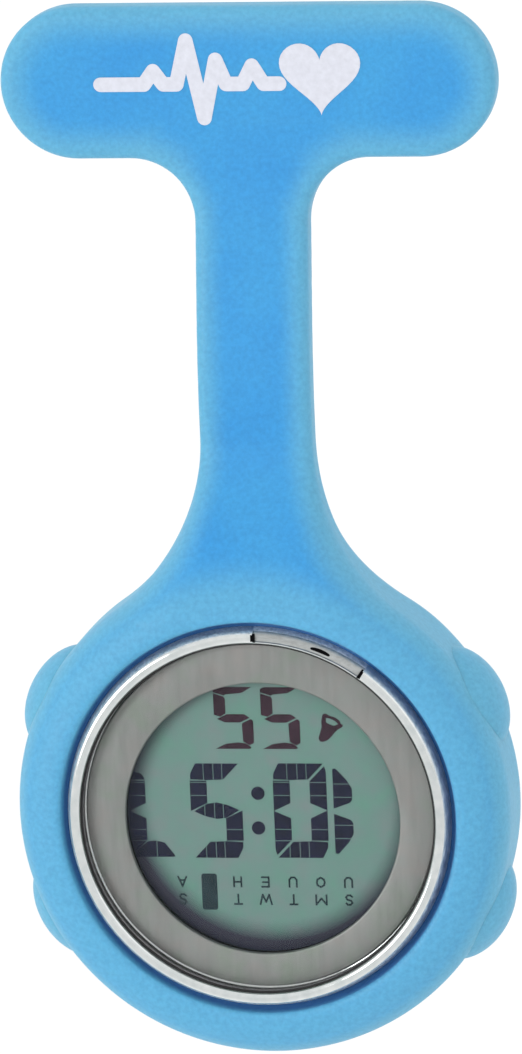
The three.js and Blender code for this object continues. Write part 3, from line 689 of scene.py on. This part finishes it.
def button_cap(place, angle):
    """The soft bump over a pusher, an oval shell on no body, with a nub inside it that rides on the button."""
    axis, across = directions(angle)
    hub = np.array((0, BUTTON_Y, HEAD_Z))
    foot = math.radians(76)
    shell = [(3.52, 4.9, 4.3, t) for t in np.linspace(0.03, foot, 30)]
    shell += [(2.57, 3.95, 3.35, t) for t in np.linspace(foot, 0.03, 20)]
    verts = [hub + axis * (18.4 + tall * math.cos(t)) + across * (wide * math.sin(t) * math.cos(u))
             + np.array((0, deep * math.sin(t) * math.sin(u), 0))
             for u in np.linspace(0, 2 * math.pi, 96, endpoint=False) for tall, wide, deep, t in shell]
    obj = mesh_piece(f"silicone_button_{place}", verts, turned_faces(96, len(shell), True), silicone, body=None)
    paint_silicone(obj)
    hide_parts(f"button_dome_{place}")
    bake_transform(obj)
    nub = [(1.6, 18.65), (1.75, 18.8), (1.75, 20.3), (1.5, 20.6), (0.4, 20.65)]
    pad = mesh_piece(f"silicone_nub_{place}", *turned_about(nub, hub, axis, solid=True), silicone,
                     body=f"button_{place}")
    paint_silicone(pad)


# ---- Watch head ------------------------------------------------------------

CUT = (53.3, 88.9)  # degrees round the bezel between which its rim is cut down


def bezel():
    """The bright ring; between two angles its rim is cut down to a dull slope, where the lens is opened."""
    foot = [(15.96, -11.1), (15.45, -9.75), (13.7, -9.75), (13.7, -10.2)]
    lip = [(14.72, -10.5), (14.72, -12.05)]
    full = [*lip, (14.77, -12.22), (14.88, -12.33), (15.05, -12.38), (15.3, -12.37),
            (15.47, -12.34), (15.56, -12.26), (15.72, -11.98), *foot]
    low = [*lip, (14.75, -12.16), (14.81, -12.21), (14.88, -12.18), (14.93, -12.05),
           (15.05, -12.0), (15.3, -11.86), (15.68, -11.6), *foot]
    steps = [np.linspace(0, 360, 360, endpoint=False), [53.2, 53.4, 88.8, 89.0]]
    angles = sorted(set(np.round(np.concatenate(steps), 3)))
    verts = []
    for degrees in angles:
        a = math.radians(degrees)
        for r, y in (low if CUT[0] < degrees < CUT[1] else full):
            verts.append((r * math.cos(a), y, HEAD_Z + r * math.sin(a)))
    obj = mesh_piece("bezel_polished", verts, grid_faces(len(angles), len(full)), chrome)
    x, y, z = np.array([p.center for p in obj.data.polygons]).T / MM
    around, radius = np.degrees(np.arctan2(z - HEAD_Z, x)), np.hypot(x, z - HEAD_Z)
    dull = (around > CUT[0] + 0.1) & (around < CUT[1] - 0.1) & (radius > 14.9) & (y < -11.4)
    wall = (radius > 15.57) & ~dull
    obj.data.materials.append(steel_dull)
    obj.data.materials.append(steel_wall)
    obj.data.polygons.foreach_set("material_index", (dull + 2 * wall).astype(int).tolist())
    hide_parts("bezel_ring")
    crisp(obj, 40)


def bezel_marks():
    """Painted shadow: dark flat shapes on the cut's two end walls and on the oval pry slot between them."""
    walls = []
    for degrees, r0, r1, width in ((CUT[0], 14.9, 15.55, 0.15), (CUT[1], 14.96, 15.5, 0.16)):
        out, across = (v[::2] for v in directions(degrees))
        corners = ((r0, -width), (r1, -width * 0.7), (r1, width), (r0, width))
        walls.append([tuple(out * r + across * w) for r, w in corners])
    out, across = (v[::2] for v in directions(67.6))
    oval = [tuple(out * (15.17 + 0.19 * math.sin(t)) + across * (0.86 * math.cos(t)))
            for t in np.linspace(0, 2 * math.pi, 24, endpoint=False)]
    verts, faces = joined(prisms(walls, -12.385, 0.6), prisms([oval], -11.98, 0.4))
    mesh_piece("bezel_notch_shadow", verts, faces, painted_shadow_black, smooth=False)


OPENING = (0.17, 0.0, -0.34)  # the display's opening sits a little low in its ring


def dial_ring():
    """The ring round the display, and the near-black lining of its opening, painted shade on the opening's wall.
    """
    profile = rounded([(11.4, -10.25), (14.45, -10.25), (14.45, -10.75), (11.4, -10.75, 0.16)], 0.06)
    verts, faces = lathe(profile)
    near = np.hypot(verts[:, 0], verts[:, 2] - HEAD_Z) < 12.5
    obj = mesh_piece("dial_ring_satin", verts + near[:, None] * OPENING, faces, dial)
    crisp(obj)
    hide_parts("dial_ring")
    # Painted shade: a near-black lining on the wall of the display's opening.
    verts, faces = lathe([(11.43, -10.3), (11.75, -10.3), (11.75, -9.64), (11.43, -9.64)])
    lining = mesh_piece("display_spacer_lining", verts + OPENING, faces, painted_shadow_black)
    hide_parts("display_spacer")


def lens():
    """The glass, its gasket, and the wall of the bezel's seat under the gasket."""
    profile = [(14.5, -10.85), (14.57, -10.92), (14.57, -11.95), (14.48, -12.04), (14.4, -12.05)]
    obj = mesh_piece("lens_clear", *lathe(profile, 192, solid=True), glass)
    obj.visible_shadow = False
    crisp(obj)
    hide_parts("lens")
    profile = rounded([(14.59, -11.72), (14.72, -11.72), (14.72, -11.97), (14.59, -11.97)], 0.03)
    gasket = mesh_piece("lens_gasket_ring", *lathe(profile, 192), rubber)
    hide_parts("lens_gasket")
    # Painted shade: the wall under the gasket is a dull grey steel ring laid over the bezel's chrome.
    profile = [(14.6, -10.78), (14.72, -10.78), (14.72, -11.71), (14.6, -11.71)]
    mesh_piece("lens_seat", *lathe(profile, 192), steel_shade)


FIGURE_Y, FIGURE_DEPTH = -9.64, 0.015  # the figures lie on the display's face
GAP = 0.055  # the thin lines between and across the segments
SLITS = ((0.27, 0.46, 0.63), (0.18, 0.30, 0.66, 0.80))  # where they cross level and upright segments


def display_panel():
    """The display's face, one flat plate with cut corners; its material gives it its tone."""
    half, corner = 11.95, 5.05
    edge = [(half, -corner), (half, corner), (corner, half), (-corner, half),
            (-half, corner), (-half, -corner), (-corner, -half), (corner, -half)]
    verts, faces = prisms([rounded(edge, 0.3)], -9.62, 0.2)
    obj = mesh_piece("display_face", verts, faces, display, smooth=False)
    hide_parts("front_polariser")


def figures(name, shapes, ink):
    """A display piece from polygons of (x, z) about the head's axis."""
    verts, faces = prisms(shapes, FIGURE_Y, FIGURE_DEPTH)
    mesh_piece(name, verts, faces, ink, smooth=False)


def cut_bars(x0, z0, w, h, t, lit):
    """Polygons of a seven-segment figure with its lower left corner at x0, z0. The figure is upside down,
    as the whole display is: lit names the segments where they lie on the hanging watch."""
    g, m = GAP, h / 2
    bars = {
        "top": [(g, h - t * 0.62), (t * 0.36, h), (w - t * 0.16, h), (w - t - g * 2, h - t + g),
                (t, h - t), (g, h - t + g)],
        "upper_left": [(0, h - t - g), (t, h - t - g), (t, m + t * 0.46), (0, m - g * 0.6)],
        "upper_right": [(w - t, h - t - g * 2), (w - t * 0.10, h - g * 4), (w, h - t * 0.5),
                        (w, m - g * 0.4 + 0.06), (w - t, m + t * 0.46)],
        "middle": [(t * 0.20, m - 0.06), (t * 0.95, m + t * 0.40), (w * 0.5, m + t * 0.50),
                   (w - t * 0.85, m + t * 0.34), (w - t * 0.18, m + 0.06), (w - t * 0.95, m - t * 0.42),
                   (w * 0.5, m - t * 0.50), (t * 0.85, m - t * 0.34)],
        "lower_left": [(0, m + g * 0.4 - 0.06), (t, m - t * 0.46), (t, t + g * 2), (t * 0.10, g * 4),
                       (0, t * 0.5)],
        "lower_right": [(w, m + g * 0.6), (w, t + g), (w - t, t + g), (w - t, m - t * 0.46)],
        "bottom": [(w - g, t * 0.62), (w - t * 0.36, 0), (t * 0.16, 0), (t + g * 2, t - g),
                   (w - t, t), (w - g, t - g)],
    }
    shapes = []
    for name in lit:
        pieces = [np.array(bars[name], float)]
        axis = 0 if name in ("top", "middle", "bottom") else 1
        for place in SLITS[axis]:
            pieces = [part for p in pieces for part in split(p, axis, place * (w, h)[axis], GAP)]
        shapes += [[(x0 + x, z0 + z) for x, z in p] for p in pieces]
    return shapes


def split(polygon, axis, at, gap):
    """The two parts of a convex polygon on either side of a thin slit."""
    low, high = polygon[:, axis].min(), polygon[:, axis].max()
    if not low + 0.12 < at < high - 0.12:
        return [polygon]
    return [clip(polygon, axis, at - gap / 2, -1), clip(polygon, axis, at + gap / 2, 1)]


def clip(polygon, axis, at, side):
    """The part of a convex polygon on one side of a line."""
    out = []
    for i in range(len(polygon)):
        a, b = polygon[i], polygon[(i + 1) % len(polygon)]
        da, db = (a[axis] - at) * side, (b[axis] - at) * side
        if da >= 0:
            out.append(a)
        if da * db < 0:
            out.append(a + (b - a) * da / (da - db))
    return np.array(out)


def big_figures():
    """The time, in tall segments: it reads ten fifty-seven when the watch is lifted."""
    h, t = 7.96, 1.4
    shapes = cut_bars(-11.13, -3.95, 4.3, h, t, ("upper_left", "lower_left"))
    shapes.append([(-11.13, 2.65), (-11.13, 3.38), (-10.8, 3.38), (-10.1, 3.2), (-9.84, 2.93), (-9.73, 2.65)])
    foot = np.array([(-11.2, -3.9), (-7.5, -3.86), (-7.46, -3.74), (-8.3, -2.66), (-9.05, -2.5),
                     (-9.7, -2.56), (-10.0, -2.8)])
    shapes += split(foot, 0, -8.95, 0.06)
    shapes += cut_bars(-5.98, -3.92, 4.3, h, t, ("top", "upper_left", "middle", "lower_right", "bottom"))
    shapes += cut_bars(0.945, -3.88, 4.45, h, t,
                       ("top", "upper_left", "upper_right", "lower_left", "lower_right", "bottom"))
    upper = np.array([(5.93, 0.22), (5.93, 3.55), (6.2, 3.6), (7.1, 2.6), (7.5, 1.9), (7.5, 1.0), (7.3, 0.72)])
    for flip in (1, -1):
        parts = [upper * (1, flip) + (0, 0.07)]
        for at in (1.18, 2.3):
            parts = [q for p in parts for q in split(p, 1, at * flip + 0.07, GAP)]
        shapes += parts
    shapes += [circle(-0.33, 1.55, 0.56), circle(-0.40, -1.38, 0.56)]
    figures("display_big_figures", shapes, navy)


def small_figures():
    """The seconds and the alarm's bell, in thinner tapered segments."""
    shapes = []
    h, z = 5.2, 5.29
    for x, w in ((-3.72, 3.25), (0.20, 3.2)):
        shapes += [[(x + a, z + b) for a, b in p] for p in (
            [(0.0, h - 0.15), (0.35, h), (w - 0.05, h), (w - 0.9, h - 0.5), (1.05, h - 0.62),
             (0.9, h - 0.72), (0.0, h - 0.45)],
            [(0.0, h - 0.53), (0.86, h - 0.80), (0.98, h - 1.0), (0.98, 2.98), (0.55, 2.70), (0.0, 2.86)],
            [(0.25, 2.52), (1.1, 2.92), (w - 0.75, 2.92), (w - 0.28, 2.62), (w - 1.1, 2.22), (0.9, 2.22)],
            [(w - 0.95, 2.14), (w - 0.2, 2.52), (w, 2.35), (w, 0.52), (w - 0.35, 0.3), (w - 0.9, 0.62)],
            [(0.05, 0.0), (0.9, 0.42), (w - 1.3, 0.55), (w - 0.62, 0.45), (w - 0.22, 0.12), (w - 0.35, 0.0)],
        )]
    shapes += [
        [(5.05, 6.65), (4.90, 6.23), (5.02, 5.95), (5.27, 5.90), (5.69, 6.07), (6.04, 6.41), (6.30, 6.74),
         (6.24, 7.25), (5.83, 7.41), (5.56, 7.58), (5.18, 7.66), (5.21, 7.16)],
        [(5.18, 7.60), (5.58, 7.56), (5.60, 7.92), (5.62, 8.30), (5.37, 8.25), (5.28, 8.08)],
        [(5.58, 7.92), (5.93, 7.87), (6.34, 7.67), (6.58, 7.42), (6.80, 7.40), (6.75, 7.67), (6.35, 7.97),
         (5.86, 8.12), (5.60, 8.30)],
        [(6.24, 7.25), (6.30, 6.74), (6.56, 6.96), (6.93, 7.17), (6.99, 7.37), (6.80, 7.42), (6.58, 7.42)],
    ]
    figures("display_small_figures", shapes, maroon)


STROKES = {  # each letter's lines in a unit square
    "S": [[(0.9, 0.85), (0.7, 1), (0.3, 1), (0.08, 0.8), (0.25, 0.57), (0.75, 0.45), (0.92, 0.22), (0.7, 0),
           (0.3, 0), (0.08, 0.17)]],
    "M": [[(0, 0), (0, 1), (0.5, 0.35), (1, 1), (1, 0)]],
    "T": [[(0, 1), (1, 1)], [(0.5, 1), (0.5, 0)]],
    "W": [[(0, 1), (0.22, 0), (0.5, 0.75), (0.78, 0), (1, 1)]],
    "U": [[(0.05, 1), (0.05, 0.25), (0.3, 0), (0.7, 0), (0.95, 0.25), (0.95, 1)]],
    "O": [[(0.5, 0), (0.1, 0.2), (0.02, 0.5), (0.1, 0.8), (0.5, 1), (0.9, 0.8), (0.98, 0.5), (0.9, 0.2),
           (0.5, 0)]],
    "E": [[(0.92, 1), (0.08, 1), (0.08, 0), (0.92, 0)], [(0.08, 0.52), (0.8, 0.52)]],
    "H": [[(0.05, 0), (0.05, 1)], [(0.95, 0), (0.95, 1)], [(0.05, 0.5), (0.95, 0.5)]],
    "A": [[(0, 0), (0.5, 1), (1, 0)], [(0.2, 0.36), (0.8, 0.36)]],
}


def letter(name, x, z, w, h, thick):
    """Thin bars along a letter's strokes, turned upside down."""
    lines = [[(x + (0.5 - a) * w, z + (0.5 - b) * h) for a, b in line] for line in STROKES[name]]
    return [stroke(a, b, thick, 0.4) for line in lines for a, b in zip(line, line[1:])]


def day_row():
    """The weekday initials in two rows, with one day's block lit."""
    shapes = []
    for i, (a, b) in enumerate(zip("SMTWT.S", "UOUEH.A")):
        if a == ".":
            continue
        x = 6.90 - i * 2.31
        shapes += letter(a, x, -7.43, {"M": 0.86, "W": 0.95}.get(a, 0.62), 0.80, 0.15)
        shapes += letter(b, x, -5.95, 0.68, 0.80, 0.15)
    block = rounded([(-5.36, -8.33), (-4.06, -8.33), (-4.06, -5.27), (-5.36, -5.27)], 0.22)
    verts, faces = joined(layered(shapes, FIGURE_Y, FIGURE_DEPTH, 8, 0.0006),
                          prisms([block], FIGURE_Y, FIGURE_DEPTH))
    mesh_piece("display_day_row", verts, faces, teal, smooth=False)


def case_back():
    """The snap-on steel back: a stepped disc with turned grooves."""
    profile = [(0.5, -2.02), (6.9, -2.02), (7.0, -2.07), (7.1, -2.02), (9.6, -2.02), (9.75, -2.1), (9.9, -2.02),
               (11.2, -2.02), (11.5, -2.12), (14.1, -2.12), (14.4, -2.3), (14.45, -2.65), (13.1, -2.7)]
    obj = mesh_piece("case_back_turned", *lathe(profile, 192, solid=True), steel_back)
    crisp(obj, 25)
    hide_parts("case_back")


# ---- Brooch pin and printed mark -------------------------------------------

PIN_Y, PIVOT_X, CATCH_X = 2.0, -13.6, 12.2  # the pin's height over the bar, its rivet and its catch


def brooch_bar():
    """The pressed steel strip with two ears for the pin's rivet and two open cheeks for the catch."""
    def field(p):
        x, y, z = p[..., 0], p[..., 1], p[..., 2]
        strip = np.hypot(np.maximum(np.abs(x) - 13.0, 0), z) - 2.5
        strip = smooth_cut(strip, np.abs(y + 0.35) - 0.35, 0.16)
        plan = np.hypot(x - PIVOT_X, y - PIN_Y) - 1.1
        plan = np.minimum(plan, np.maximum(np.abs(x - PIVOT_X) - 1.1, np.maximum(y - PIN_Y, -0.3 - y)))
        plan = np.maximum(plan, 0.48 - np.hypot(x - PIVOT_X, y - PIN_Y))
        ears = smooth_cut(plan, np.abs(np.abs(z) - 1.15) - 0.3, 0.12)
        around = np.hypot(y - PIN_Y, z)
        plan = np.minimum(around - 1.7, np.maximum(np.abs(z) - 1.7, np.maximum(y - PIN_Y, -0.3 - y)))
        plan = np.maximum(plan, np.maximum(1.12 - around, -np.maximum(np.abs(z) - 0.55, PIN_Y - y)))
        cheeks = smooth_cut(plan, np.abs(np.abs(x - CATCH_X) - 1.4) - 0.3, 0.12)
        return smooth_join(strip, np.minimum(ears, cheeks), 0.25)

    points, faces = surface_net(field, (-15.9, -1.0, -2.8), (15.9, 4.0, 2.8), 0.12)
    obj = mesh_piece("brooch_bar", points, faces, steel, body="fob")
    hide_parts("pin_bar")


def brooch_pin():
    """The rivet, and the pin that swings on it: a rolled eye, a straight shank and a ground point."""
    centre, axis = np.array((PIVOT_X, PIN_Y, 0.0)), (0, 0, 1)
    head = [(0.15, -1.78), (0.45, -1.76), (0.7, -1.66), (0.8, -1.5), (0.44, -1.5)]
    shaft = turned_about(head + [(r, -h) for r, h in reversed(head)], centre, axis, solid=True)
    rivet = mesh_piece("brooch_rivet", *shaft, steel_round, body="fob")
    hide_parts("pin_rivet")
    eye = turned_about(rounded([(0.5, -0.75), (0.95, -0.75), (0.95, 0.75), (0.5, 0.75)], 0.15), centre, axis, 48)
    along = np.array([-12.85, -12.5, -8, -2, 4, 8, 10.1, 11.5, 13, 14, 14.45, 14.6])
    thick = np.array([0.34, 0.38, 0.38, 0.38, 0.38, 0.38, 0.38, 0.32, 0.2, 0.1, 0.05, 0.015])
    shank = sweep(np.stack([along, np.full(12, PIN_Y), np.zeros(12)], 1), thick, 20)
    pin = mesh_piece("brooch_needle", *joined(eye, shank), steel_round, body="pin")
    crisp(pin, 50)
    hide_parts("pin_arm")


def catch():
    """The safety sleeve: a slotted barrel between the cheeks with a ridged thumb tab."""
    tilt = math.radians(10)

    def field(p):
        x, y, z = p[..., 0] - CATCH_X, p[..., 1] - PIN_Y, p[..., 2]
        around = np.hypot(y, z)
        journal = smooth_cut(around - 1.0, np.abs(x) - 1.9, 0.12)
        drum = smooth_cut(around - 1.42, np.abs(x) - 0.98, 0.15)
        out, off = z * math.cos(tilt) - y * math.sin(tilt), y * math.cos(tilt) + z * math.sin(tilt)
        ridge = 0.05 * np.cos(out * 2 * math.pi / 0.42) * (out > 1.4)
        tab = np.maximum(np.abs(x) - 0.7, np.abs(out - 1.85) - 0.85)
        tab = smooth_cut(tab, np.abs(off) - 0.22 - ridge, 0.1)
        body = smooth_join(np.minimum(journal, drum), tab, 0.12)
        hollow = np.minimum(around - 0.56, np.maximum(np.abs(z) - 0.5, -y))
        return smooth_cut(body, -hollow, 0.08)

    points, faces = surface_net(field, (10.1, 0.3, -1.7), (14.3, 3.8, 3.0), 0.07)
    obj = mesh_piece("catch_barrel", points, faces, steel_round, body="catch")
    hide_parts("catch_sleeve")


def printed_mark():
    """A generic white print on the bar: a heartbeat trace that runs into a small heart."""
    line = [(-11.6, -0.6), (-8.0, -0.6), (-7.2, 0.5), (-6.4, -0.6), (-5.3, -0.6), (-4.4, 3.0), (-3.1, -3.4),
            (-2.0, 1.4), (-1.2, -0.6), (0.2, -0.6), (1.0, 0.9), (1.9, -0.6), (3.2, -0.6)]
    thick = 1.2
    shapes = [stroke(a, b, thick) for a, b in zip(line, line[1:])]
    shapes += [circle(x, z, thick / 2, 20) for x, z in line]
    turns = [2 * math.pi * k / 64 for k in range(64)]
    heights = [sum(k * math.cos(n * t) for n, k in ((1, 13), (2, -5), (3, -2), (4, -1))) for t in turns]
    shapes.append([(6.6 + 3.35 * math.sin(t) ** 3, 0.25 + 0.205 * h) for t, h in zip(turns, heights)])
    verts, faces = layered(shapes, FRONT - 0.02, 0.06, 5, 0.0008, centre=(-0.4, 0.55))
    mesh_piece("printed_heartbeat", verts, faces, mark_white, body="fob", smooth=False)


silicone_fob()
for place, angle in BUTTONS.items():
    button_cap(place, angle)
bezel()
bezel_marks()
dial_ring()
lens()
display_panel()
big_figures()
small_figures()
day_row()
case_back()
brooch_bar()
brooch_pin()
catch()
printed_mark()

# ---- Pieces carried over from the frame ------------------------------------

finish = {
    "case_middle": chrome, "case_back_seal": rubber, "display_front_glass": glass, "display_rear_glass": glass,
    "rear_polariser": display, "backlight_panel": ivory, "contact_strip_upper": rubber,
    "contact_strip_lower": rubber, "module_frame": ivory, "circuit_board": board, "chip_drop": black,
    "battery_contact": brass, "buzzer_plate": brass, "buzzer_ceramic": ceramic, "buzzer_spring": brass,
    "quartz_crystal": steel_round, "coin_cell": steel_round,
}
for name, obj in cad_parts.items():
    material = finish.get(name, rubber if "seal" in name else steel)
    for s in obj.material_slots:
        s.material = material


def return_spring(place, angle):
    """A pusher's coil, riding on the head."""
    axis, across = directions(angle)
    hub = np.array((0, BUTTON_Y, HEAD_Z))
    path = [hub + axis * (15.42 + 1.8 * t)
            + 1.2 * (across * math.cos(7 * math.pi * t) + np.array((0, math.sin(7 * math.pi * t), 0)))
            for t in np.linspace(0, 1, 85)]
    coil = mesh_piece(f"return_spring_{place}", *sweep(path, 0.13, 8), steel_round)
    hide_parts(f"pusher_spring_{place}")
    tuple(axis)
    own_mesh(coil)


for place, angle in BUTTONS.items():
    return_spring(place, angle)

# ---- Floor and light -------------------------------------------------------

floor_material, floor_tree, floor_shader = new_material("floor_pale", (0.93, 0.93, 0.93), 0.9)
tone = ramp(floor_tree, noise(floor_tree, 3, 2.0, 0.5), [(0.3, (0.92,) * 3), (0.7, (0.94,) * 3)])
floor_tree.links.new(tone, floor_shader.inputs["Base Color"])
floor_mesh = bpy.data.meshes.new("floor")
floor_mesh.from_pydata([(-30, -30, -0.5), (30, -30, -0.5), (30, 30, -0.5), (-30, 30, -0.5)], [], [(0, 1, 2, 3)])
floor_mesh.materials.append(floor_material)
floor = bpy.data.objects.new("floor", floor_mesh)
bpy.context.scene.collection.objects.link(floor)

world = bpy.data.worlds.new("studio")
bpy.context.scene.world = world
world.use_nodes = True
background = world.node_tree.nodes["Background"]
background.inputs["Color"].default_value = (1.0, 1.0, 1.0, 1)
background.inputs["Strength"].default_value = 1.1


def area_light(name, place, aim, size, power):
    """A disc light; places and sizes in metres."""
    light = bpy.data.lights.new(name, "AREA")
    light.shape = "DISK"
    light.size = size
    light.energy = power
    obj = bpy.data.objects.new(name, light)
    obj.location = place
    obj.rotation_mode = "QUATERNION"
    obj.rotation_quaternion = (Vector(aim) - Vector(place)).to_track_quat("-Z", "Y")
    bpy.context.scene.collection.objects.link(obj)


CENTRE = (0, -0.005, -0.037)  # of the fob, in metres
area_light("key_left", (-0.45, -0.55, 0.05), CENTRE, 0.35, 1.6)
area_light("fill_right", (0.55, -0.35, 0.3), CENTRE, 0.5, 0.2)

view = bpy.context.scene.view_settings
view.view_transform, view.look, view.exposure, view.gamma = "Standard", "None", 0.0, 1.0
